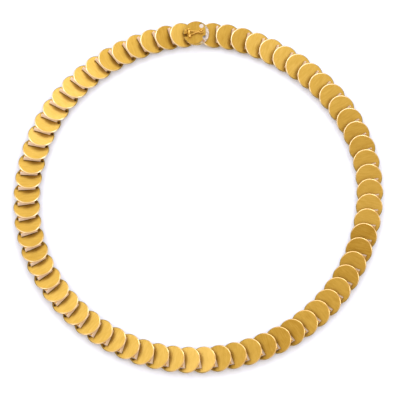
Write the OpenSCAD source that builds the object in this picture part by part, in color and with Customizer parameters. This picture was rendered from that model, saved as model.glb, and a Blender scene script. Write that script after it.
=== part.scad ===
// Choker of overlapping round discs, closed by a box clasp with a safety catch.
// Millimetres, +Z up, lying flat. The clasp is at +Y, and the links run anticlockwise from it.
// Each link is drawn in a frame of its own: x outward, y forward along the loop, z off the face.

/* [Loop] */
// Discs round the whole loop, the clasp's cover among them
disc_count = 69; // [68:1:70]
// Mean radius of the line through the discs' centres
loop_radius = 63.1; // [62:0.1:64.5]
// Angle of the clasp round the loop, in degrees from +X
clasp_angle = 90.4; // [89:0.1:91]

/* [Disc] */
// Diameter of a disc
disc_d = 9.9; // [9.5:0.1:10]
// Thickness of a disc
disc_t = 0.5; // [0.4:0.05:0.55]
// Width of the bevel round the top edge
bevel_w = 0.3; // [0.15:0.05:0.4]
// Depth of that bevel
bevel_h = 0.22; // [0.1:0.02:0.3]
// Small bevel round the bottom edge
under_bevel = 0.1; // [0.05:0.05:0.15]
// How far a disc leans back, its front raised, in degrees
lean = 20; // [19:0.5:21]

/* [Riser and hinge] */
// Width of the riser under a disc's front
riser_w = 6.2; // [5.6:0.1:6.6]
// Distance from a disc's centre to the middle of the riser's front
riser_front = 4.1; // [3.9:0.05:4.2]
// How far the riser's front is set askew, in degrees, its outer corner forward
riser_askew = 13; // [0:1:13]
// How far the riser's front leans out towards its foot, in degrees
riser_slant = 20; // [0:1:20]
// Depth of the riser's bottom edge below the disc's face
riser_depth = 1.7; // [1.55:0.05:1.75]
// Thickness of the riser's front wall
front_wall = 0.9; // [0.7:0.1:0.9]
// Thickness of the riser's side walls
side_wall = 0.5; // [0.4:0.05:0.6]
// Distance from a disc's centre forward to its hinge pin
pin_y = 2.4; // [2.3:0.05:2.45]
// Depth of the pin's axis below the disc's face
pin_depth = 1.25; // [1.22:0.01:1.28]
// Radius of the hinge pin
pin_r = 0.18; // [0.16:0.01:0.2]
// Outer radius of the ear that hangs on the pin
ear_r = 0.6; // [0.55:0.01:0.62]
// Radius of the ear's hole
ear_hole_r = 0.39; // [0.38:0.01:0.4]
// Width of the ear along the pin
ear_w = 0.9; // [0.7:0.1:1]

/* [Clasp] */
// Lean of the last disc, whose front goes in under the cover, in degrees
last_lean = 11; // [10:0.5:12]
// Height of the cover's underside
cover_z = 2.75; // [2.7:0.05:2.9]
// Thickness of the polished plate under the cover
edge_plate_t = 0.3; // [0.25:0.05:0.4]
// Thickness of the brushed cover
cover_t = 0.28; // [0.2:0.02:0.4]
// Diameter of the plate
cover_d = 9.6; // [9.4:0.1:9.8]
// Width of the polished crescent that the brushed cover leaves bare
crescent_w = 1.3; // [1.1:0.1:1.5]
// How far the crescent is turned towards the loop's inside, in degrees
crescent_turn = 20; // [0:5:30]
// Diameter of the polished nick for a fingernail
nick_d = 2; // [1.8:0.1:2.2]
// Diameter of the smaller nick on the other side
small_nick_d = 1.8; // [1.4:0.1:2]
// Outer width of the box that takes the tongue
box_w = 4.8; // [4.4:0.1:5]
// Length of the box
box_l = 5.4; // [5:0.1:5.5]
// Thickness of the tongue
tongue_t = 0.15; // [0.12:0.01:0.16]

/* [Safety catch] */
// Turn of the catch on the cover, in degrees
catch_turn = 9; // [6:1:12]
// How far outward of the cover's middle the catch lies
catch_out = 0.25; // [0.1:0.05:0.4]
// Distance from the cover's middle to the catch's hinge
hinge_y = 2.6; // [2.5:0.02:2.7]
// Distance from the hinge to the ball stud
stud_reach = 4.46; // [4.3:0.02:4.5]
// Diameter of the ball on the stud
ball_d = 0.86; // [0.8:0.02:0.9]
// Thickness of the catch's wire
wire_d = 0.44; // [0.4:0.02:0.46]
// Half the distance between the catch's two wires
wire_half = 0.75; // [0.72:0.01:0.78]

/* [Hidden] */
$fn = 64;
gold = [0.86, 0.68, 0.30];
bright_gold = [0.95, 0.84, 0.55];

// Where the loop lies off a true circle: a row for each place, and the line eases between them.
LIE_ANGLE = 0;
LIE_OUT = 1;
loop_lie = [
    [10, 0.1],
    [57, -0.7],
    [88, 0.2],
    [120, -0.5],
    [160, 0.1],
    [200, 1.0],
    [245, 0.3],
    [290, -0.8],
    [335, -0.7],
    [370, 0.1]
];
// Moves the loop so that the middle of its outline lies on the origin.
loop_shift = [0.28, -0.25];

function ease(t) = t * t * (3 - 2 * t);
function lie_between(a, row, next) =
    let (t = (a - row[LIE_ANGLE]) / (next[LIE_ANGLE] - row[LIE_ANGLE]))
    row[LIE_OUT] + (next[LIE_OUT] - row[LIE_OUT]) * ease(t);
function lie_at(a, i = 0) =
    a <= loop_lie[i + 1][LIE_ANGLE]
        ? lie_between(a, loop_lie[i], loop_lie[i + 1])
        : lie_at(a, i + 1);
function turn_of(a) = (a - loop_lie[0][LIE_ANGLE]) % 360;
function loop_point(a) =
    let (r = loop_radius + lie_at(turn_of(a + 360) + loop_lie[0][LIE_ANGLE]))
    [r * cos(a), r * sin(a)];

// Arc length from the clasp against angle, in steps of one degree.
function step_length(a) = norm(loop_point(a + 1) - loop_point(a));
loop_arc = [
    for (a = 0, s = 0; a <= 360; s = s + step_length(clasp_angle + a), a = a + 1)
        [s, a]
];
loop_length = loop_arc[360][0];
pitch = loop_length / disc_count;
half_degree = 0.5;
// The hinges' play: how much nearer the clasp, along the loop, a disc lies than even spacing puts it.
loop_play = [
    // disc, mm
    [0, 0],
    [19, 0],
    [38, 1.2],
    [69, 0]
];
function disc_angle(k) = clasp_angle + lookup(k * pitch - lookup(k, loop_play), loop_arc);
function tangent_angle(a) =
    let (step = loop_point(a + half_degree) - loop_point(a - half_degree))
    atan2(step[1], step[0]);

disc_r = disc_d / 2;
// Height of a disc's face at its centre, with its tucked edge on the surface below.
disc_z = (disc_r - under_bevel) * sin(lean) + disc_t * cos(lean);
// Height and distance back of the pin that a disc's ear hangs on, which is the pin of the disc behind.
ear_height = pitch * sin(lean) - pin_depth;
ear_y = pitch * cos(lean) - pin_y;

// How far soldered pieces run into each other, and how far a cut runs past what it cuts.
solder = 0.05;
past = 1;

// How far the riser's sides reach back past its hinge pin.
cheek_reach = 0.8;
riser_back = pin_y - cheek_reach;
// How far the pin's ends stay inside the riser's outer faces.
pin_inset = 0.25;
// Half the length of the ear's foot, as a share of the ear's radius.
ear_foot = 0.85;

// Distance of a pin ahead of its own disc's centre, and its height above the surface below.
pin_ahead = pin_y * cos(lean) + pin_depth * sin(lean);
pin_z = disc_z + pin_y * sin(lean) - pin_depth * cos(lean);
last_ear_y = (pitch - pin_ahead - ear_height * sin(last_lean)) / cos(last_lean);
last_z = pin_z + last_ear_y * sin(last_lean) - ear_height * cos(last_lean);

// The clasp's box: its floor, walls, room for the tongue and roof, and how far it lies ahead of
// the clasp's middle.
box_floor = 0.4;
box_wall = 0.4;
box_room = 0.36;
box_roof = 0.3;
box_front = 1;
// The block on the box that carries the cover, behind and ahead of the clasp's middle.
block_back = 0.65;
block_front = 1.9;
// The lugs that hold the first link's pin: how far they reach past it ahead and below.
hinge_ahead = 0.45;
hinge_below = 0.28;
hinge_root = 0.2;

// The tongue: its room at each side and at its end, what stands out of the box, and its web.
tongue_side = 0.15;
tongue_end = 0.2;
tongue_out = 0.9;
tongue_w = box_w - 2 * (box_wall + tongue_side);
tongue_z = box_floor + (box_room - tongue_t) / 2;
web_l = 0.6;
web_sink = 0.2;

// The cover lies a little ahead of the clasp's middle, and is notched beside the catch's hinge.
cover_shift = 0.66;
cover_inset = 0.1;
cover_top = cover_z + edge_plate_t + cover_t;
nick_at = [2.97, -2.03];
small_nick_at = [-1.9, -3.2];
notch_at = [-1.45, 3.3];
notch_size = [1.15, 2];
// A low step on the cover ahead of the catch's hinge, in the catch's frame.
step_at = [0.1, 0.55];
step_size = [1.6, 0.8];
step_h = 0.32;

// The safety catch's hinge: two lugs, a pin through both, and a barrel between them.
lug_w = 0.55;
lug_gap = 2.2;
lug_r = 0.5;
lug_foot = 0.9;
catch_pin_r = 0.24;
catch_pin_proud = 0.1;
catch_bore_r = 0.3;
catch_room = 0.1;
barrel_r = 0.42;
// Height of the catch's wire over the cover, and of the ball over the wire.
wire_z = 0.52;
ball_lift = 0.22;
post_r = 0.22;
// The waist of the figure eight: where it starts and ends, half the distance between its wires, and
// their thickness, pressed a little thinner than the rest.
waist_start = 2.7;
waist_end = 3.65;
waist_half = 0.18;
waist_d = wire_d - 0.04;

last_link = disc_count - 1;
half_count = floor(last_link / 2);

// Puts what is drawn in a link's frame at the k-th place round the loop.
module at_place(k, height = disc_z, angle = lean) {
    spot = loop_point(disc_angle(k));
    translate([spot[0] + loop_shift[0], spot[1] + loop_shift[1], height])
        rotate([0, 0, tangent_angle(disc_angle(k)) - 90])
            rotate([angle, 0, 0])
                children();
}

// A cylinder along x, centred on x = 0.
module cross_rod(r, length) {
    rotate([0, 90, 0])
        cylinder(r = r, h = length, center = true);
}

module disc() {
    rotate_extrude()
        polygon([
            [0, 0],
            [disc_r - bevel_w, 0],
            [disc_r, -bevel_h],
            [disc_r, under_bevel - disc_t],
            [disc_r - under_bevel, -disc_t],
            [0, -disc_t]
        ]);
}

// A block under the disc whose front is askew and leans out towards its foot.
module riser_block(half, back, front, grow) {
    bottom = -riser_depth - grow;
    top = solder - disc_t + grow;
    reach = (riser_depth - disc_t) * tan(riser_slant);
    intersection() {
        translate([-half, back, bottom])
            cube([2 * half, disc_d, top - bottom]);
        translate([0, front, 0])
            rotate([0, 0, riser_askew])
                rotate([90, 0, 90])
                    linear_extrude(3 * half, center = true)
                        polygon([
                            [-disc_d, top + past],
                            [0, top + past],
                            [0, -disc_t],
                            [reach, -riser_depth],
                            [reach, bottom - past],
                            [-disc_d, bottom - past]
                        ]);
    }
}

// The riser: a front wall and two side walls, open at the back, with the hinge pin across it.
module riser() {
    difference() {
        riser_block(riser_w / 2, riser_back, riser_front, 0);
        riser_block(riser_w / 2 - side_wall, riser_back - past, riser_front - front_wall, past);
    }
    translate([0, pin_y, -pin_depth])
        cross_rod(pin_r, riser_w - 2 * pin_inset);
}

// The ear on top of a disc's back, which hangs on the pin of the disc behind it.
module ear(back) {
    foot = ear_r * ear_foot;
    translate([0, -back, 0])
        difference() {
            union() {
                translate([0, 0, ear_height])
                    cross_rod(ear_r, ear_w);
                translate([-ear_w / 2, -foot, -2 * solder])
                    cube([ear_w, 2 * foot, ear_height]);
            }
            translate([0, 0, ear_height])
                cross_rod(ear_hole_r, ear_w + past);
        }
}

module link() {
    disc();
    riser();
    ear(ear_y);
}

module links_left() {
    color(gold)
        for (k = [1 : half_count])
            at_place(k)
                link();
}

module links_right() {
    color(gold)
        for (k = [half_count + 1 : last_link - 1])
            at_place(k)
                link();
}

// The last disc, with the tongue that goes into the clasp's box.
module clasp_tongue() {
    reach = box_l - box_front + tongue_out;
    tongue_l = box_l - box_wall - tongue_end + tongue_out;
    web_top = last_z - disc_t + web_sink;
    color(gold) {
        at_place(last_link, last_z, last_lean) {
            disc();
            ear(last_ear_y);
        }
        at_place(0, 0, 0) {
            translate([-tongue_w / 2, -reach, tongue_z])
                cube([tongue_w, tongue_l, tongue_t]);
            translate([-tongue_w / 2, -reach, tongue_z])
                cube([tongue_w, web_l, web_top - tongue_z]);
        }
    }
}

// The box, the block on it that carries the cover, and the hinge of the first link ahead of it.
module clasp_box() {
    height = box_floor + box_room + box_roof;
    back = box_front - box_l;
    difference() {
        translate([-box_w / 2, back, 0])
            cube([box_w, box_l, height]);
        translate([box_wall - box_w / 2, back - past, box_floor])
            cube([box_w - 2 * box_wall, box_l + past - box_wall, box_room]);
    }
    block_z = height - 2 * solder;
    translate([-riser_w / 2, -block_back, block_z])
        cube([riser_w, block_back + block_front, cover_z + solder - block_z]);
    hinge_z = pin_z - hinge_below;
    hinge_back = block_front - hinge_root;
    for (x = [-riser_w / 2, riser_w / 2 - side_wall])
        translate([x, hinge_back, hinge_z])
            cube([side_wall, pin_ahead + hinge_ahead - hinge_back, cover_z + solder - hinge_z]);
    translate([0, pin_ahead, pin_z])
        cross_rod(pin_r, riser_w - 2 * pin_inset);
}

// The frame of the safety catch: its hinge on y = 0, and -y towards the ball stud.
module at_catch() {
    at_place(0, cover_top, 0)
        translate([0, cover_shift, 0])
            rotate([0, 0, catch_turn])
                translate([catch_out, hinge_y, 0])
                    children();
}

module catch_lug(x) {
    translate([x, 0, 0])
        difference() {
            union() {
                translate([0, 0, wire_z])
                    cross_rod(lug_r, lug_w);
                translate([-lug_w / 2, -lug_r * lug_foot, -2 * solder])
                    cube([lug_w, 2 * lug_r * lug_foot, wire_z + 2 * solder]);
            }
            translate([0, 0, wire_z])
                cross_rod(catch_pin_r, lug_w + past);
        }
}

module ball_stud() {
    ball_z = wire_z + ball_lift;
    translate([0, 0, -2 * solder])
        cylinder(r = post_r, h = ball_z);
    translate([0, 0, ball_z])
        sphere(d = ball_d);
}

// The polished plate, and on it the brushed cover, a disc less a crescent and two nicks.
module cover() {
    difference() {
        union() {
            translate([0, 0, cover_z])
                cylinder(d = cover_d, h = edge_plate_t);
            translate([0, 0, cover_z + edge_plate_t - solder])
                difference() {
                    intersection() {
                        cylinder(d = cover_d - 2 * cover_inset, h = cover_t + solder);
                        translate(crescent_w * [sin(crescent_turn), cos(crescent_turn), 0])
                            cylinder(d = cover_d, h = cover_t + solder);
                    }
                    translate([nick_at[0], nick_at[1], solder])
                        cylinder(d = nick_d, h = cover_t + past);
                    translate([small_nick_at[0], small_nick_at[1], solder])
                        cylinder(d = small_nick_d, h = cover_t + past);
                }
        }
        translate([notch_at[0], notch_at[1], cover_z - past])
            cube([notch_size[0], notch_size[1], cover_top - cover_z + 2 * past]);
    }
}

module clasp_case() {
    color(gold) {
        at_place(0, 0, 0) {
            clasp_box();
            translate([0, cover_shift, 0])
                cover();
        }
        at_catch() {
            for (side = [-1, 1])
                catch_lug(side * (lug_gap + lug_w) / 2);
            translate([0, -stud_reach, 0])
                ball_stud();
            translate([step_at[0], step_at[1], -2 * solder])
                cube([step_size[0], step_size[1], step_h + 2 * solder]);
        }
    }
}

module hinge_pin() {
    color(bright_gold)
        at_catch()
            translate([0, 0, wire_z])
                cross_rod(catch_pin_r, lug_gap + 2 * (lug_w + catch_pin_proud));
}

// A straight wire between two points of the catch's frame.
module wire(from, to, diameter) {
    run = to - from;
    translate([from[0], from[1], 0])
        rotate([0, 90, atan2(run[1], run[0])])
            cylinder(d = diameter, h = norm(run));
}

// A figure eight of wire: a barrel, two wires that meet in a waist, and a ring round the ball.
module safety_catch() {
    barrel_w = lug_gap - 2 * catch_room;
    color(bright_gold)
        at_catch()
            translate([0, 0, wire_z]) {
                difference() {
                    union() {
                        cross_rod(barrel_r, barrel_w);
                        for (side = [-1, 1])
                            wire([side * wire_half, 0], [side * waist_half, -waist_start - solder], wire_d);
                    }
                    cross_rod(catch_bore_r, lug_gap + past);
                }
                for (side = [-1, 1])
                    wire([side * waist_half, -waist_start], [side * waist_half, -waist_end], waist_d);
                translate([0, -stud_reach, 0])
                    rotate_extrude()
                        translate([wire_half, 0])
                            circle(d = wire_d);
            }
}

links_left();
links_right();
clasp_tongue();
clasp_case();
hinge_pin();
safety_catch();
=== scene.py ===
# Choker of overlapping brushed gold discs, lying closed on a pale table.
# Lengths are in millimetres, and the helpers turn them into Blender's metres. Each link is modelled
# once in a frame of its own, x outward, y forward along the loop, z off the face, and is then
# copied to its place round the loop.
from bisect import bisect_right
from math import atan2, cos, pi, radians, sin, tan
from random import Random

import bmesh
import bpy
from mathutils import Matrix, Vector


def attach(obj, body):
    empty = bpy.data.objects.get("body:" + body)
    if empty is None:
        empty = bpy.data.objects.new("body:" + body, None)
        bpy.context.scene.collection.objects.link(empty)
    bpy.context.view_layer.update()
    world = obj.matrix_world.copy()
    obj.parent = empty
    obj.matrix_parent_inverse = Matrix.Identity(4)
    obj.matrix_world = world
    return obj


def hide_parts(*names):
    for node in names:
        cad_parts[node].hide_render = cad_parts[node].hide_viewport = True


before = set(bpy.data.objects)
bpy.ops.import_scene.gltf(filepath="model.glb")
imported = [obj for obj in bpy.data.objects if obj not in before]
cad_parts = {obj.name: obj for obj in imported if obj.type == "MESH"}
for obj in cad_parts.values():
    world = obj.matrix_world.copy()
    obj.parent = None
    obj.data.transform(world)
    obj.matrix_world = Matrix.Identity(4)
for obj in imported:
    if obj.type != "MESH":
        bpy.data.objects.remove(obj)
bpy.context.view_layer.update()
mm = 0.001
tiny = 0.002  # how near two places count as the same


# The loop, as the solids have it

loop = {
    "discs": 69,
    "radius": 63.1,
    "claspAngle": 90.4,  # degrees from +X
    "shift": (0.28, -0.25),
    # how far the loop lies off a true circle: angle in degrees, distance outward
    "lie": [(10, 0.1), (57, -0.7), (88, 0.2), (120, -0.5), (160, 0.1),
            (200, 1.0), (245, 0.3), (290, -0.8), (335, -0.7), (370, 0.1)],
    # the hinges' play: from disc to disc, how much nearer the clasp the links lie
    "play": [(0, 0), (19, 0), (38, 1.2), (69, 0)],
    "lean": 20,
    "lastLean": 11,
}


def outwardAt(angle):
    rows = loop["lie"]
    turned = (angle - rows[0][0]) % 360 + rows[0][0]
    for (start, low), (end, high) in zip(rows, rows[1:]):
        if turned <= end:
            share = (turned - start) / (end - start)
            return low + (high - low) * share * share * (3 - 2 * share)


def loopPoint(angle):
    reach = loop["radius"] + outwardAt(angle)
    return Vector((reach * cos(radians(angle)), reach * sin(radians(angle)), 0))


arcLengths = [0.0]
for degree in range(360):
    start = loop["claspAngle"] + degree
    arcLengths.append(arcLengths[-1] + (loopPoint(start + 1) - loopPoint(start)).length)
pitch = arcLengths[360] / loop["discs"]


def playAt(number):
    rows = loop["play"]
    for (first, low), (last, high) in zip(rows, rows[1:]):
        if number <= last:
            return low + (high - low) * (number - first) / (last - first)


def discAngle(number):
    along = number * pitch - playAt(number)
    degree = min(bisect_right(arcLengths, along) - 1, 359)
    share = (along - arcLengths[degree]) / (arcLengths[degree + 1] - arcLengths[degree])
    return loop["claspAngle"] + degree + share


def placeOf(number, height, lean):
    angle = discAngle(number)
    step = loopPoint(angle + 0.5) - loopPoint(angle - 0.5)
    middle = loopPoint(angle) + Vector((*loop["shift"], 0))
    middle.z = height
    turn = atan2(step.y, step.x) - pi / 2
    return (Matrix.Translation(middle * mm) @ Matrix.Rotation(turn, 4, "Z")
            @ Matrix.Rotation(radians(lean), 4, "X"))


# Small helpers for modelling by hand

def selectOnly(piece):
    bpy.ops.object.select_all(action="DESELECT")
    piece.select_set(True)
    bpy.context.view_layer.objects.active = piece


def startEdit(piece):
    selectOnly(piece)
    bpy.ops.object.mode_set(mode="EDIT")


def endEdit():
    bpy.ops.object.mode_set(mode="OBJECT")


def pick(kind, test):
    bpy.ops.mesh.select_all(action="DESELECT")
    bpy.ops.mesh.select_mode(type=kind)
    mesh = bmesh.from_edit_mesh(bpy.context.object.data)
    parts = {"VERT": mesh.verts, "EDGE": mesh.edges, "FACE": mesh.faces}[kind]
    for part in parts:
        if test(part):
            part.select_set(True)
    mesh.select_flush_mode()
    bmesh.update_edit_mesh(bpy.context.object.data)


def pickFaces(test):
    pick("FACE", lambda face: test(face.calc_center_median() / mm, face.normal))


def pickVerts(test):
    pick("VERT", lambda vert: test(vert.co / mm))


def pickEdges(test):
    pick("EDGE", lambda edge: all(test(vert.co / mm) for vert in edge.verts))


def nudge(y=0.0, z=0.0):
    bpy.ops.transform.translate(value=(0, y * mm, z * mm))


def inset(width, each=False):
    bpy.ops.mesh.inset(thickness=width * mm, use_individual=each)


def bevelEdges(width):
    bpy.ops.mesh.bevel(offset=width * mm, segments=2, affect="EDGES")


def extrude(y=0.0, z=0.0):
    bpy.ops.mesh.extrude_region_move(TRANSFORM_OT_translate={"value": (0, y * mm, z * mm)})


def growFoot(depth):
    # draws the picked faces down to a flat foot at this depth
    extrude(z=-depth)
    bpy.ops.transform.resize(value=(1, 1, 0), center_override=(0, 0, -depth * mm))


def settle(name):
    piece = bpy.context.object
    selectOnly(piece)
    bpy.ops.object.transform_apply(location=True, rotation=True, scale=True)
    piece.name = name
    return piece


def rod(name, radius, length, centre, across=False, sides=32):
    # upright, or lying across the link
    bpy.ops.object.select_all(action="DESELECT")
    bpy.ops.mesh.primitive_cylinder_add(vertices=sides, radius=radius * mm, depth=length * mm,
                                        end_fill_type="NGON", location=Vector(centre) * mm,
                                        rotation=(0, pi / 2 if across else 0, 0))
    return settle(name)


def block(name, low, high):
    low, high = Vector(low) * mm, Vector(high) * mm
    bpy.ops.object.select_all(action="DESELECT")
    bpy.ops.mesh.primitive_cube_add(size=1, location=(low + high) / 2)
    bpy.context.object.scale = high - low
    return settle(name)


def useModifier(piece, kind, **settings):
    selectOnly(piece)
    bpy.ops.object.modifier_add(type=kind)
    modifier = piece.modifiers[-1]
    for key, value in settings.items():
        setattr(modifier, key, value)
    bpy.ops.object.modifier_apply(modifier=modifier.name)


def softenEdges(piece, width, segments=2, angle=32):
    useModifier(piece, "BEVEL", width=width * mm, segments=segments, limit_method="ANGLE",
                angle_limit=radians(angle), use_clamp_overlap=True)


def useBoolean(piece, cutter, operation):
    useModifier(piece, "BOOLEAN", operation=operation, object=cutter, solver="EXACT")
    bpy.data.objects.remove(cutter)


def joinAll(pieces, name):
    selectOnly(pieces[0])
    for piece in pieces:
        piece.select_set(True)
    bpy.ops.object.join()
    pieces[0].name = name
    pieces[0].data.name = name
    return pieces[0]


def smoothShade(piece, angle=35):
    selectOnly(piece)
    bpy.ops.object.shade_smooth_by_angle(angle=radians(angle))
    useModifier(piece, "WEIGHTED_NORMAL", keep_sharp=True)


# The camera, at the photograph's angle: 17 degrees off straight above, far away with a long lens

view = {
    "tilt": 17.3,
    "distance": 1100,
    "aim": (0.58, -2.24, 2.08),
    "lens": 268.2,
    "sensor": 36,
    "clip": (10, 20000),
}
bpy.ops.object.camera_add()
camera = bpy.context.object
camera.name = "camera"
camera.data.sensor_width = view["sensor"]
camera.data.lens = view["lens"]
camera.data.clip_start = view["clip"][0] * mm
camera.data.clip_end = view["clip"][1] * mm
lineOfSight = Vector((0, -sin(radians(view["tilt"])), cos(radians(view["tilt"]))))
camera.location = (Vector(view["aim"]) + lineOfSight * view["distance"]) * mm
camera.rotation_euler = (radians(view["tilt"]), 0, 0)
bpy.context.scene.camera = camera
print("camera placed")


# Small helpers for finishes. Every value is a number, a colour or another node's output

def setInput(tree, entry, value):
    if isinstance(value, bpy.types.NodeSocket):
        tree.links.new(value, entry)
    else:
        entry.default_value = value


def addNode(tree, kind, *values, **settings):
    # values fill the first inputs in turn, settings are inputs or options by name
    node = tree.nodes.new(kind)
    for name, value in settings.items():
        if name in node.inputs:
            setInput(tree, node.inputs[name], value)
        else:
            setattr(node, name, value)
    for entry, value in zip(node.inputs, values):
        setInput(tree, entry, value)
    return node


def startFinish(name, metallic=1):
    finish = bpy.data.materials.new(name)
    finish.use_nodes = True
    shader = finish.node_tree.nodes["Principled BSDF"]
    shader.inputs["Metallic"].default_value = metallic
    return finish, finish.node_tree, shader


def attribute(tree, name, output="Vector"):
    return addNode(tree, "ShaderNodeAttribute", attribute_name=name).outputs[output]


def parted(tree, vector):
    return addNode(tree, "ShaderNodeSeparateXYZ", vector).outputs


def joined(tree, x, y):
    return addNode(tree, "ShaderNodeCombineXYZ", x, y).outputs["Vector"]


def calculate(tree, operation, *values):
    return addNode(tree, "ShaderNodeMath", *values, operation=operation).outputs["Value"]


def stretched(tree, coordinates, scale):
    return addNode(tree, "ShaderNodeMapping", Vector=coordinates, Scale=scale).outputs["Vector"]


def noise(tree, coordinates, scale, detail, roughness):
    return addNode(tree, "ShaderNodeTexNoise", Vector=coordinates, Scale=scale, Detail=detail,
                   Roughness=roughness).outputs["Fac"]


def ramp(tree, value, stops):
    node = addNode(tree, "ShaderNodeValToRGB", value)
    band = node.color_ramp
    while len(band.elements) < len(stops):
        band.elements.new(0.5)
    for element, (position, colour) in zip(band.elements, stops):
        element.position = position
        element.color = (*colour, 1)
    return node.outputs["Color"]


def spread(tree, value, low, high):
    # 0 to 1 becomes low to high
    ends = {"To Min": low, "To Max": high}
    return addNode(tree, "ShaderNodeMapRange", value, **ends).outputs["Result"]


def fade(tree, value, start, end):
    # 0 up to start, 1 from end on, also where end is the smaller
    ends = {"From Min": start, "From Max": end}
    return addNode(tree, "ShaderNodeMapRange", value, **ends).outputs["Result"]


def spot(tree, coordinates, at, reach):
    # 1 within the first distance of a place, 0 beyond the second
    distance = addNode(tree, "ShaderNodeVectorMath", coordinates, (*at, 0), operation="DISTANCE")
    return fade(tree, distance.outputs["Value"], reach[1], reach[0])


def mixed(tree, share, base, added):
    node = addNode(tree, "ShaderNodeMix", share, data_type="RGBA")
    for entry, colour in ((node.inputs[6], base), (node.inputs[7], added)):
        setInput(tree, entry, (*colour, 1) if isinstance(colour, tuple) else colour)
    return node.outputs[2]


def bump(tree, shader, height, strength, distance):
    node = addNode(tree, "ShaderNodeBump", Height=height, Strength=strength, Distance=distance * mm)
    tree.links.new(node.outputs["Normal"], shader.inputs["Normal"])


# The discs' brushed gold

brushed = {
    "tones": [(0, (0.37, 0.19, 0.018)), (0.5, (0.57, 0.35, 0.066)), (1, (0.78, 0.52, 0.145))],
    # fine strokes across the disc, broad ones and clouds: how each noise is stretched, then its
    # scale, detail and roughness
    "layers": [((1.2, 14, 1), (1.6, 5, 0.65)), ((0.3, 1.7, 1), (1, 2, 0.5)),
               ((1, 1, 1), (0.35, 2, 0.5))],
    "shares": (0.35, 0.42, 0.18),
    "roughness": (0.44, 0.58),
    "bump": (0.25, 0.04),
    # painted shade in the corners where the disc behind crosses this one
    "corner": (3.6, -1.9),
    "reach": (0.25, 0.75),
    "paintedShade": (0.09, 0.045, 0.013),
}


def cornerShade(tree, own):
    # painted shade in each link's outer and inner corner, as strong as the link's own painted-light
    # values say
    place = parted(tree, own)
    flat = joined(tree, place["X"], place["Y"])
    x, y = brushed["corner"]
    shades = [spot(tree, flat, (side, y), brushed["reach"]) for side in (x, -x)]
    product = addNode(tree, "ShaderNodeVectorMath", joined(tree, *shades), attribute(tree, "paintedLight"),
                      operation="DOT_PRODUCT")
    return product.outputs["Value"]


def makeBrushed():
    finish, tree, shader = startFinish("brushedGold")
    own = attribute(tree, "own")
    layers = [noise(tree, stretched(tree, own, grain), *texture)
              for grain, texture in brushed["layers"]]
    blend = attribute(tree, "tone", "Fac")
    for layer, share in zip(layers, brushed["shares"]):
        blend = calculate(tree, "MULTIPLY_ADD", layer, share, blend)
    colour = ramp(tree, blend, brushed["tones"])
    # painted shade darkens the brushed colour in the corners
    shaded = mixed(tree, cornerShade(tree, own), colour, brushed["paintedShade"])
    setInput(tree, shader.inputs["Base Color"], shaded)
    strokes = layers[0]
    setInput(tree, shader.inputs["Roughness"], spread(tree, strokes, *brushed["roughness"]))
    bump(tree, shader, strokes, *brushed["bump"])
    return finish


# Polished golds: soft clouds of tone and fine scratches. Where a finish has an unhighlit tone, a
# link's own third painted-light value says how far its painted pale highlight fades down to that

polish = {
    "clouds": (0.9, 3, 0.55),
    "scratchGrain": (9, 1.5, 3),
    "scratches": (2.4, 4, 0.6),
    "bump": (0.08, 0.03),
}
polishedGold = {
    "tones": [(0.3, (0.93, 0.72, 0.40)), (0.7, (0.98, 0.80, 0.50))],
    "roughness": (0.24, 0.36),
}
# painted highlight: a washed-out pale pinkish gold for the risers, fading to the unhighlit gold
# away from the upper left
paleGold = {
    "tones": [(0.3, (0.84, 0.67, 0.55)), (0.7, (0.98, 0.81, 0.69))],
    "bare": (0.58, 0.49, 0.43),
    "roughness": (0.32, 0.48),
    "metallic": 0.6,
}
warmGold = {
    "tones": [(0.34, (0.50, 0.27, 0.045)), (0.5, (0.70, 0.41, 0.09)), (0.66, (0.86, 0.55, 0.16))],
    "roughness": (0.16, 0.28),
}
# painted shade: a darker gold for disc undersides, riser backs and insides, pins and ears
shadedGold = {
    "tones": [(0.3, (0.42, 0.22, 0.05)), (0.7, (0.56, 0.32, 0.08))],
    "roughness": (0.35, 0.5),
}
rimGold = {
    # painted shade on the rim's tucked back, painted cream highlight on its front
    "tones": [(0.15, (0.34, 0.23, 0.06)), (0.95, (0.86, 0.67, 0.40))],  # tucked back, front
    "turn": (-0.6, 3.6),  # where along the link the one fades into the other
    "patches": (1.1, 3, 0.6),
    "patchShare": 0.3,
    "bare": (0.67, 0.41, 0.145),
    "roughness": (0.24, 0.36),
}


def addScratches(tree, shader, own, roughness):
    grain = stretched(tree, own, polish["scratchGrain"])
    scratches = noise(tree, grain, *polish["scratches"])
    setInput(tree, shader.inputs["Roughness"], spread(tree, scratches, *roughness))
    bump(tree, shader, scratches, *polish["bump"])


def bareness(tree):
    return parted(tree, attribute(tree, "paintedLight"))["Z"]


def makePolished(name, settings):
    finish, tree, shader = startFinish(name, settings.get("metallic", 1))
    own = attribute(tree, "own")
    colour = ramp(tree, noise(tree, own, *polish["clouds"]), settings["tones"])
    if "bare" in settings:
        colour = mixed(tree, bareness(tree), colour, settings["bare"])
    setInput(tree, shader.inputs["Base Color"], colour)
    addScratches(tree, shader, own, settings["roughness"])
    return finish


def makeRim():
    finish, tree, shader = startFinish("rimGold")
    own = attribute(tree, "own")
    forward = fade(tree, parted(tree, own)["Y"], *rimGold["turn"])
    patches = noise(tree, own, *rimGold["patches"])
    blend = calculate(tree, "MULTIPLY_ADD", patches, rimGold["patchShare"], forward)
    # the painted cream highlight on the rim's front fades to unhighlit gold as the link turns from
    # the upper left
    bare = calculate(tree, "MULTIPLY", bareness(tree), forward)
    colour = mixed(tree, bare, ramp(tree, blend, rimGold["tones"]), rimGold["bare"])
    setInput(tree, shader.inputs["Base Color"], colour)
    addScratches(tree, shader, own, rimGold["roughness"])
    return finish


# The clasp's polished plate under the cover: gold, with a painted pale reflection on its back and
# under the round nick, and two painted dark spots

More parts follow.
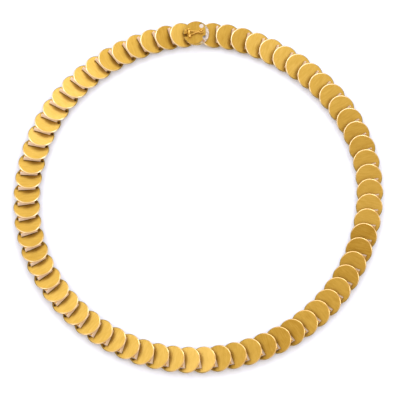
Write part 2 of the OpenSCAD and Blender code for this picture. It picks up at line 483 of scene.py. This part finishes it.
crescentGold = {
    # painted reflection: grey, lavender and near-white patches of washed-out polished gold
    "tones": [(0.36, (0.46, 0.40, 0.38)), (0.5, (0.64, 0.57, 0.54)), (0.66, (0.86, 0.80, 0.82))],
    "patches": (1.3, 2, 0.5),
    "gold": [(0.3, (0.42, 0.294, 0.098)), (0.7, (0.60, 0.42, 0.14))],
    "middle": 0.66,  # of the plate, forward along the link
    "arc": (-1.3, -0.85, 0.45, 0.75),  # radians round the plate: the pale part fades in, then out
    # painted highlight under the round nick
    "nick": ((2.85, -1.32), (0.72, 0.92)),
    # painted dark spots: one dark grey, one a brown painted shadow
    "spots": [((-1.43, -2.4), (0.25, 0.65), (0.22, 0.22, 0.25)),
              ((-3.1, -2.1), (0.2, 0.7), (0.50, 0.26, 0.12))],
    "roughness": (0.14, 0.24),
}


def makeCrescent():
    finish, tree, shader = startFinish("paleCrescent")
    own = attribute(tree, "own")
    place = parted(tree, own)
    flat = joined(tree, place["X"], place["Y"])
    backward = calculate(tree, "SUBTRACT", crescentGold["middle"], place["Y"])
    angle = calculate(tree, "ARCTAN2", place["X"], backward)
    low, lowEnd, high, highEnd = crescentGold["arc"]
    within = calculate(tree, "MULTIPLY", fade(tree, angle, low, lowEnd),
                       fade(tree, angle, highEnd, high))
    # painted reflection: the pale arc on the back, joined by the painted highlight under the nick
    pale = calculate(tree, "MAXIMUM", within, spot(tree, flat, *crescentGold["nick"]))
    tones = crescentGold["tones"]
    patches = ramp(tree, noise(tree, own, *crescentGold["patches"]), tones)
    nickHighlight = (*crescentGold["nick"], tones[-1][1])
    for at, reach, colour in [nickHighlight] + crescentGold["spots"]:
        patches = mixed(tree, spot(tree, flat, at, reach), patches, colour)
    clouds = noise(tree, own, *polish["clouds"])
    colour = mixed(tree, pale, ramp(tree, clouds, crescentGold["gold"]), patches)
    setInput(tree, shader.inputs["Base Color"], colour)
    setInput(tree, shader.inputs["Roughness"], spread(tree, clouds, *crescentGold["roughness"]))
    return finish


finishes = (makeBrushed(), makePolished("polishedGold", polishedGold),
            makePolished("paleGold", paleGold), makePolished("shadedGold", shadedGold),
            makePolished("warmGold", warmGold), makeRim(), makeCrescent())
brushedSlot, polishedSlot, riserSlot, shadedSlot, warmSlot, rimSlot, crescentSlot = range(7)
print("finishes made")


def paintFaces(piece, slotNumber, test):
    startEdit(piece)
    pickFaces(test)
    piece.active_material_index = slotNumber
    bpy.ops.object.material_slot_assign()
    endEdit()


def coat(piece, slotNumber):
    for finish in finishes:
        piece.data.materials.append(finish)
    paintFaces(piece, slotNumber, lambda centre, normal: True)


def facesUp(centre, normal):
    return normal.z > 0.98


def markOwn(piece, across=0.0, turn=0.0, tone=0.0, paintedLight=(0, 0, 0)):
    # places in the piece's own frame, so that a grain follows the piece wherever it lies
    mesh = piece.data
    spin = Matrix.Rotation(turn, 3, "Z")
    values = []
    for vert in mesh.vertices:
        values.extend(spin @ (vert.co / mm) + Vector((0, 0, across)))
    mesh.attributes.new("own", "FLOAT_VECTOR", "POINT").data.foreach_set("vector", values)
    shade = [tone] * len(mesh.vertices)
    mesh.attributes.new("tone", "FLOAT", "POINT").data.foreach_set("value", shade)
    # painted-light shares: painted corner shade outside, inside, then how far the painted pale
    # highlight fades
    corners = list(paintedLight) * len(mesh.vertices)
    mesh.attributes.new("paintedLight", "FLOAT_VECTOR", "POINT").data.foreach_set("vector", corners)


# A disc: a round blank whose rim is bevelled and polished

disc = {
    "radius": 4.95,
    "thickness": 0.5,
    "rimWidth": 0.3,
    "rimDrop": 0.22,
    "underBevel": 0.1,
    "soft": 0.035,
    "sides": 120,
}


def makeDisc(name):
    radius, thickness = disc["radius"], disc["thickness"]
    blank = rod(name, radius, thickness, (0, 0, -thickness / 2), sides=disc["sides"])
    startEdit(blank)
    pickFaces(facesUp)
    inset(disc["rimWidth"])
    pickVerts(lambda co: co.z > -tiny and co.xy.length > radius - tiny)
    nudge(z=-disc["rimDrop"])
    pickEdges(lambda co: co.z < tiny - thickness and co.xy.length > radius - tiny)
    bevelEdges(disc["underBevel"])
    faceRadius = radius - disc["rimWidth"]
    pickEdges(lambda co: co.z > -tiny and abs(co.xy.length - faceRadius) < tiny)
    bevelEdges(disc["soft"])
    pickEdges(lambda co: abs(co.z + disc["rimDrop"]) < tiny and co.xy.length > radius - tiny)
    bevelEdges(disc["soft"])
    endEdit()
    coat(blank, rimSlot)
    paintFaces(blank, brushedSlot, facesUp)
    # painted shade: the disc's underside gets the shaded gold
    paintFaces(blank, shadedSlot, lambda centre, normal: normal.z < -0.3)
    return blank


# The riser under a disc's front: a wall set askew, a cheek at each side, and the hinge pin across

riser = {
    "width": 6.2,
    "front": 4.1,
    "askew": 13,
    "depth": 1.7,
    "slant": 20,  # degrees that the front wall leans out towards its foot
    "wall": 0.9,
    "cheek": 0.5,
    "back": 1.6,
    "pinAt": (2.4, -1.25),
    "pinRadius": 0.18,
    "pinLength": 5.7,
    "pinSides": 20,
    "sunk": 0.05,
    "soft": 0.05,
}


def makeRiser(name):
    half = riser["width"] / 2
    inner = half - riser["cheek"]
    wallBack = riser["front"] - riser["wall"]
    top = riser["sunk"] - disc["thickness"]
    wall = block(name, (-half, wallBack, -riser["depth"]), (half, riser["front"], top))
    startEdit(wall)
    for x in (-inner, inner):
        bpy.ops.mesh.select_all(action="SELECT")
        bpy.ops.mesh.bisect(plane_co=(x * mm, 0, 0), plane_no=(1, 0, 0))
    pickFaces(lambda centre, normal: normal.y < -0.9 and abs(centre.x) > inner)
    extrude(y=riser["back"] - wallBack)
    for x in (-half, -inner, inner, half):
        pickVerts(lambda co: abs(co.x - x) < tiny and co.y > wallBack - tiny)
        nudge(y=x * tan(radians(riser["askew"])))
    pickVerts(lambda co: co.z < tiny - riser["depth"] and co.y > riser["back"] + tiny)
    lean = (riser["depth"] - disc["thickness"]) * tan(radians(riser["slant"]))
    nudge(y=lean / cos(radians(riser["askew"])))
    endEdit()
    softenEdges(wall, riser["soft"])
    # painted shade: the riser is coated in the shaded gold before its front and cheeks are painted
    # pale
    coat(wall, shadedSlot)
    # painted highlight: the riser's front wall and cheeks get the pale riser gold
    paintFaces(wall, riserSlot, lambda centre, normal: normal.y > 0.3 or abs(normal.x) > 0.7)
    return wall


def makePin(name, ahead, height, slotNumber):
    pin = rod(name, riser["pinRadius"], riser["pinLength"], (0, ahead, height), across=True,
              sides=riser["pinSides"])
    softenEdges(pin, riser["soft"])
    coat(pin, slotNumber)
    return pin


# The ear on a disc's tucked back, which hangs on the pin of the disc behind

ear = {
    "radius": 0.6,
    "hole": 0.39,
    "width": 0.9,
    "sunk": 0.05,
    "soft": 0.04,
}


def makeEar(name, back, height):
    half = ear["width"] / 2
    knuckle = rod(name, ear["radius"], ear["width"], (0, -back, height), across=True)

    def inHole(co):
        return Vector((co.y + back, co.z - height)).length < ear["hole"] + tiny

    startEdit(knuckle)
    pickFaces(lambda centre, normal: abs(normal.x) > 0.9)
    inset(ear["radius"] - ear["hole"], each=True)
    bpy.ops.mesh.delete(type="ONLY_FACE")
    pickEdges(inHole)
    bpy.ops.mesh.bridge_edge_loops()
    pickFaces(lambda centre, normal: normal.z < -0.6 and abs(centre.x) < half - tiny
              and not inHole(centre))
    growFoot(ear["sunk"])
    bpy.ops.mesh.select_all(action="SELECT")
    bpy.ops.mesh.normals_make_consistent(inside=False)
    endEdit()
    softenEdges(knuckle, ear["soft"])
    # painted shade: the ear is coated in the shaded gold
    coat(knuckle, shadedSlot)
    return knuckle


leaned = radians(loop["lean"])
discHeight = ((disc["radius"] - disc["underBevel"]) * sin(leaned)
              + disc["thickness"] * cos(leaned))
pinForward, pinUp = riser["pinAt"]
earBack = pitch * cos(leaned) - pinForward
earHeight = pitch * sin(leaned) + pinUp

# painted shade: the link's pin is coated in the shaded gold
linkParts = [makeDisc("link"), makeRiser("riser"), makePin("pin", pinForward, pinUp, shadedSlot),
             makeEar("ear", earBack, earHeight)]
link = joinAll(linkParts, "link")
smoothShade(link)
print("link modelled,", len(link.data.polygons), "faces")


# Tones of the discs: from which disc on they are how much darker or lighter, and what chance adds

tones = {
    "runs": [(0, -0.15), (1, 0.06), (2, -0.26), (3, -0.11), (7, 0.08), (9, 0.18), (12, 0.08),
             (13, 0.22), (14, 0), (15, -0.1), (20, -0.17), (22, 0), (24, 0.06), (30, 0.1),
             (34, 0.25), (36, -0.1), (39, -0.25), (42, -0.12), (46, -0.2), (48, -0.32), (50, 0.02),
             (55, -0.1), (58, 0), (63, 0.08), (66, -0.15)],
    "seed": 69,
    "spread": 0.03,
    "turn": 7,  # degrees that a disc's strokes may lie off
    "apart": 7.3,  # from one disc's place in the grain to the next one's
}
chance = Random(tones["seed"])
discTones = []
discTurns = []
for number in range(loop["discs"]):
    run = [tone for first, tone in tones["runs"] if first <= number][-1]
    discTones.append(run + chance.uniform(-1, 1) * tones["spread"])
    discTurns.append(radians(chance.uniform(-tones["turn"], tones["turn"])))


# Painted light: painted shade gathers down the left of the loop and in each link's lower corner,
# and the risers and rims carry a painted pale highlight, palest at the upper left

paintedLightPlan = {
    "paintedShade": 0.5,
    "paintedShadeSwing": 0.7,
    "corners": 0.8,
    "palest": 130,  # degrees from +X
}


def paintedLightAt(number):
    # painted shade in the outer corner, in the inner one, and how far the painted pale highlight
    # fades off
    angle = radians(discAngle(number))
    paintedShade = min(max(paintedLightPlan["paintedShade"] - paintedLightPlan["paintedShadeSwing"] * cos(angle), 0), 1)
    outer = min(max(paintedLightPlan["corners"] - sin(angle), 0), 1)
    inner = min(max(paintedLightPlan["corners"] + sin(angle), 0), 1)
    # the painted pale highlight is fullest at the palest angle
    bare = 0.5 - 0.5 * cos(angle - radians(paintedLightPlan["palest"]))
    return (paintedShade * outer, paintedShade * inner, bare)


def layLinks(name, numbers):
    copies = []
    for number in numbers:
        piece = link.copy()
        piece.data = link.data.copy()
        bpy.context.scene.collection.objects.link(piece)
        markOwn(piece, number * tones["apart"], discTurns[number], discTones[number],
                paintedLightAt(number))
        piece.data.transform(placeOf(number, discHeight, loop["lean"]))
        copies.append(piece)
    return joinAll(copies, name)


lastNumber = loop["discs"] - 1
halfCount = lastNumber // 2
linksLeft = layLinks("linksLeft", range(1, halfCount + 1))
linksRight = layLinks("linksRight", range(halfCount + 1, lastNumber))
bpy.data.objects.remove(link)
print("links laid")


# The clasp: box, block and lugs under a polished plate, and the brushed cover on it

clasp = {
    "boxWidth": 4.8, "boxLength": 5.4, "boxFront": 1.0, "boxHeight": 1.06,
    "floor": 0.4, "wall": 0.4, "room": 0.36,
    "blockBack": 0.65, "blockFront": 1.9,
    "lugBack": 0.2, "lugBelow": 0.28, "lugAhead": 0.45,
    "coverHeight": 2.75, "plate": 0.3, "cover": 0.28, "diameter": 9.6, "inset": 0.1,
    "crescent": 1.3, "crescentTurn": 20, "shift": 0.66,
    "nickAt": (2.97, -2.03), "nick": 2, "smallNickAt": (-1.9, -3.2), "smallNick": 1.8,
    "nickSides": 64, "notchAt": (-1.45, 3.3), "notch": (1.15, 2),
    "sunk": 0.05, "soft": 0.05, "discSoft": 0.07, "sides": 120,
    "cutter": 1,  # how far a cutting tool reaches past what it cuts
}
pinAhead = pinForward * cos(leaned) - pinUp * sin(leaned)
pinHeight = discHeight + pinForward * sin(leaned) + pinUp * cos(leaned)
coverTop = clasp["coverHeight"] + clasp["plate"] + clasp["cover"]


def makeClaspBox():
    half = clasp["boxWidth"] / 2
    front = clasp["boxFront"]
    back = front - clasp["boxLength"]
    floor, wall = clasp["floor"], clasp["wall"]
    shell = block("box", (-half, back, 0), (half, front, clasp["boxHeight"]))
    room = block("room", (wall - half, back - clasp["cutter"], floor),
                 (half - wall, front - wall, floor + clasp["room"]))
    useBoolean(shell, room, "DIFFERENCE")
    side = riser["width"] / 2
    cheek = riser["cheek"]
    low = clasp["boxHeight"] - 2 * clasp["sunk"]
    high = clasp["coverHeight"] + clasp["sunk"]
    blockFront = clasp["blockFront"]
    carrier = block("carrier", (-side, -clasp["blockBack"], low), (side, blockFront, high))
    parts = [shell, carrier]
    for x in (-side, side - cheek):
        parts.append(block("lug", (x, blockFront - clasp["lugBack"], pinHeight - clasp["lugBelow"]),
                           (x + cheek, pinAhead + clasp["lugAhead"], high)))
    for part in parts:
        softenEdges(part, clasp["soft"])
        coat(part, polishedSlot)
    return parts + [makePin("pin", pinAhead, pinHeight, polishedSlot)]


def makeCover():
    shift, radius, cutter = clasp["shift"], clasp["diameter"] / 2, clasp["cutter"]
    plateMiddle = clasp["coverHeight"] + clasp["plate"] / 2
    plate = rod("plate", radius, clasp["plate"], (0, shift, plateMiddle), sides=clasp["sides"])
    coverLow = clasp["coverHeight"] + clasp["plate"] - clasp["sunk"]
    middle = (coverLow + coverTop) / 2
    cover = rod("cover", radius - clasp["inset"], coverTop - coverLow, (0, shift, middle),
                sides=clasp["sides"])
    turned = radians(clasp["crescentTurn"])
    moonAt = (clasp["crescent"] * sin(turned), shift + clasp["crescent"] * cos(turned), middle)
    useBoolean(cover, rod("moon", radius, cutter, moonAt, sides=clasp["sides"]), "INTERSECT")
    for place, size in (("nickAt", clasp["nick"]), ("smallNickAt", clasp["smallNick"])):
        x, y = clasp[place]
        nick = rod("nick", size / 2, cutter, (x, y + shift, middle), sides=clasp["nickSides"])
        useBoolean(cover, nick, "DIFFERENCE")
    x, y = clasp["notchAt"]
    wide, long = clasp["notch"]
    for part in (plate, cover):
        notch = block("notch", (x, y + shift, middle - cutter),
                      (x + wide, y + shift + long, middle + cutter))
        useBoolean(part, notch, "DIFFERENCE")
        softenEdges(part, clasp["discSoft"], 3)
        coat(part, rimSlot)
    paintFaces(plate, crescentSlot, facesUp)
    paintFaces(cover, brushedSlot, facesUp)
    return [plate, cover]


# The safety catch on the cover: two lugs and a ball stud, a pin, and a figure eight of wire

catch = {
    "turn": 9, "out": 0.25, "hingeAt": 2.6, "reach": 4.46, "sunk": 0.1,
    "lugWidth": 0.55, "lugGap": 2.2, "lugRadius": 0.5, "lugSides": 40, "lugSoft": 0.05,
    "pinRadius": 0.24, "pinProud": 0.1, "pinSoft": 0.07,
    "boreRadius": 0.3, "room": 0.1, "barrelRadius": 0.42, "barrelSoft": 0.04,
    "wireHeight": 0.52, "ballLift": 0.22, "ball": 0.86, "postRadius": 0.22,
    "wire": 0.44, "wireHalf": 0.75, "wireFrom": 0.3, "wireDraw": 0.03,
    "waistStart": 2.7, "waistEnd": 3.65, "waistHalf": 0.18,
    "stepAt": (0.1, 0.55), "step": (1.6, 0.8, 0.32), "stepSoft": 0.08,
}
catchFrame = (Matrix.Translation(Vector((0, clasp["shift"], coverTop)) * mm)
              @ Matrix.Rotation(radians(catch["turn"]), 4, "Z")
              @ Matrix.Translation(Vector((catch["out"], catch["hingeAt"], 0)) * mm))
hingeMiddle = (0, 0, catch["wireHeight"])


def setOnCover(part):
    coat(part, warmSlot)
    part.data.transform(catchFrame)
    return part


def makeLugs():
    parts = []
    for side in (-1, 1):
        x = side * (catch["lugGap"] + catch["lugWidth"]) / 2
        lug = rod("lug", catch["lugRadius"], catch["lugWidth"], (x, 0, catch["wireHeight"]),
                  across=True, sides=catch["lugSides"])
        startEdit(lug)
        pickFaces(lambda centre, normal: normal.z < -0.45)
        growFoot(catch["sunk"])
        endEdit()
        softenEdges(lug, catch["lugSoft"])
        parts.append(lug)
    top = catch["wireHeight"] + catch["ballLift"]
    postMiddle = (0, -catch["reach"], (top - catch["sunk"]) / 2)
    parts.append(rod("post", catch["postRadius"], top + catch["sunk"], postMiddle, sides=24))
    bpy.ops.object.select_all(action="DESELECT")
    bpy.ops.mesh.primitive_uv_sphere_add(segments=32, ring_count=16, radius=catch["ball"] / 2 * mm,
                                         location=(0, -catch["reach"] * mm, top * mm))
    parts.append(settle("ball"))
    x, y = catch["stepAt"]
    wide, long, high = catch["step"]
    step = block("step", (x, y, -catch["sunk"]), (x + wide, y + long, high))
    softenEdges(step, catch["stepSoft"], 3)
    parts.append(step)
    return [setOnCover(part) for part in parts]


def assign(piece, body, node):
    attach(piece, body)
    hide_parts(node)


def finishClaspPiece(piece, body, node):
    markOwn(piece, tone=discTones[0])
    piece.data.transform(placeOf(0, 0, 0))
    smoothShade(piece)
    assign(piece, body, node)


claspCase = joinAll(makeClaspBox() + makeCover() + makeLugs(), "claspCase")
finishClaspPiece(claspCase, "choker", "clasp_case")
print("clasp modelled")


def makeHingePin():
    length = catch["lugGap"] + 2 * (catch["lugWidth"] + catch["pinProud"])
    pin = rod("hingePin", catch["pinRadius"], length, hingeMiddle, across=True)
    softenEdges(pin, catch["pinSoft"], 3)
    return setOnCover(pin)


hingePin = makeHingePin()
finishClaspPiece(hingePin, "choker", "hinge_pin")


def makeWire(name, points):
    # a smooth round wire through points, each an (x, y) in the catch's frame
    line = bpy.data.curves.new(name, "CURVE")
    line.dimensions = "3D"
    line.bevel_depth = catch["wire"] / 2 * mm
    line.bevel_resolution = 4
    line.resolution_u = 10
    line.use_fill_caps = True
    spline = line.splines.new("NURBS")
    spline.points.add(len(points) - 1)
    for point, (x, y) in zip(spline.points, points):
        point.co = (x * mm, y * mm, catch["wireHeight"] * mm, 1)
    spline.order_u = 4
    spline.use_endpoint_u = True
    wire = bpy.data.objects.new(name, line)
    bpy.context.scene.collection.objects.link(wire)
    selectOnly(wire)
    bpy.ops.object.convert(target="MESH")
    return bpy.context.object


def makeCatch():
    barrelWidth = catch["lugGap"] - 2 * catch["room"]
    barrel = rod("barrel", catch["barrelRadius"], barrelWidth, hingeMiddle, across=True,
                 sides=catch["lugSides"])
    bore = rod("bore", catch["boreRadius"], barrelWidth + 2, hingeMiddle, across=True)
    useBoolean(barrel, bore, "DIFFERENCE")
    softenEdges(barrel, catch["barrelSoft"])
    parts = [barrel]
    half, waist = catch["wireHalf"], catch["waistHalf"]
    start, end = catch["waistStart"], catch["waistEnd"]
    begin, draw = catch["wireFrom"], catch["wireDraw"]
    for side in (-1, 1):
        parts.append(makeWire("sideWire", [
            (side * half, -begin), (side * (half - draw), -2 * begin),
            (side * (half + waist) / 2, -start / 2), (side * waist, -start),
            (side * waist, -start - begin), (side * waist, -end)]))
    bpy.ops.object.select_all(action="DESELECT")
    bpy.ops.mesh.primitive_torus_add(
        location=(0, -catch["reach"] * mm, catch["wireHeight"] * mm), major_segments=48,
        minor_segments=16, major_radius=half * mm, minor_radius=catch["wire"] / 2 * mm)
    parts.append(settle("ring"))
    return joinAll([setOnCover(part) for part in parts], "safetyCatch")


safetyCatch = makeCatch()
finishClaspPiece(safetyCatch, "catch", "safety_catch")
print("catch modelled")


# The last disc, whose tongue goes into the clasp's box

tongue = {
    "thick": 0.15, "side": 0.15, "end": 0.2, "out": 0.9, "web": 0.6, "webSink": 0.2, "soft": 0.03,
}
lastLean = radians(loop["lastLean"])
lastEarBack = (pitch - pinAhead - earHeight * sin(lastLean)) / cos(lastLean)
lastHeight = pinHeight + lastEarBack * sin(lastLean) - earHeight * cos(lastLean)


def makeTongue():
    face = joinAll([makeDisc("lastDisc"), makeEar("lastEar", lastEarBack, earHeight)], "lastDisc")
    grainAt = lastNumber * tones["apart"]
    markOwn(face, grainAt, discTurns[lastNumber], discTones[lastNumber])
    face.data.transform(placeOf(lastNumber, lastHeight, loop["lastLean"]))
    half = clasp["boxWidth"] / 2 - clasp["wall"] - tongue["side"]
    back = clasp["boxFront"] - clasp["boxLength"] - tongue["out"]
    tip = clasp["boxFront"] - clasp["wall"] - tongue["end"]
    low = clasp["floor"] + (clasp["room"] - tongue["thick"]) / 2
    webTop = lastHeight - disc["thickness"] + tongue["webSink"]
    plate = block("tongue", (-half, back, low), (half, tip, low + tongue["thick"]))
    web = block("web", (-half, back, low), (half, back + tongue["web"], webTop))
    for part in (plate, web):
        softenEdges(part, tongue["soft"])
        coat(part, polishedSlot)
        markOwn(part, grainAt)
        part.data.transform(placeOf(0, 0, 0))
    return joinAll([face, plate, web], "claspTongue")


claspTongue = makeTongue()
smoothShade(claspTongue)
print("tongue modelled")

assign(linksLeft, "choker", "links_left")
assign(linksRight, "choker", "links_right")
assign(claspTongue, "choker", "clasp_tongue")


# A pale table, and soft light from behind and above

table = {
    "size": 3000,
    "tones": [(0.3, (0.8865, 0.9062, 0.985)), (0.7, (0.90, 0.92, 1.0))],
    "clouds": (3.0, 2, 0.5),
    "roughness": 0.9,
    "specular": 0.1,
}


def makeTable():
    bpy.ops.object.select_all(action="DESELECT")
    bpy.ops.mesh.primitive_plane_add(size=table["size"] * mm, location=(0, 0, 0))
    floor = settle("table")
    finish, tree, shader = startFinish("paleTable", metallic=0)
    coordinates = addNode(tree, "ShaderNodeTexCoord").outputs["Object"]
    colour = ramp(tree, noise(tree, coordinates, *table["clouds"]), table["tones"])
    setInput(tree, shader.inputs["Base Color"], colour)
    shader.inputs["Roughness"].default_value = table["roughness"]
    shader.inputs["Specular IOR Level"].default_value = table["specular"]
    floor.data.materials.append(finish)


studio = {
    "sky": (1.05, 0.97, 0.86),
    "skyStrength": 1.0,
    "distance": 1500,
    "size": 600,
    "tint": (0.86, 1.0, 1.28),
    # each panel: the direction it hangs in, and its brightness
    "panels": {
        "back": ((0, 0.84, 0.54), 0.8),
        "backRight": ((0.42, 0.70, 0.60), 1.3),
        "backLeft": ((-0.42, 0.70, 0.60), 0.92),
        "right": ((0.75, -0.05, 0.65), 1.0),
        "left": ((-0.72, 0.25, 0.65), 0.8),
        "frontLeft": ((-0.60, -0.45, 0.76), 0.5),
    },
}


def makeStudio():
    world = bpy.data.worlds.new("studio")
    world.use_nodes = True
    sky = world.node_tree.nodes["Background"]
    sky.inputs["Color"].default_value = (*studio["sky"], 1)
    sky.inputs["Strength"].default_value = studio["skyStrength"]
    bpy.context.scene.world = world
    for name, (direction, brightness) in studio["panels"].items():
        place = Vector(direction).normalized() * studio["distance"] * mm
        bpy.ops.object.light_add(type="AREA", location=place)
        panel = bpy.context.object
        panel.name = name
        panel.data.shape = "SQUARE"
        panel.data.size = studio["size"] * mm
        panel.data.color = studio["tint"]
        panel.data.energy = brightness * pi
        panel.rotation_euler = (-place).to_track_quat("-Z", "Y").to_euler()


makeTable()
makeStudio()
bpy.context.scene.view_settings.view_transform = "Standard"
print("table and light placed")
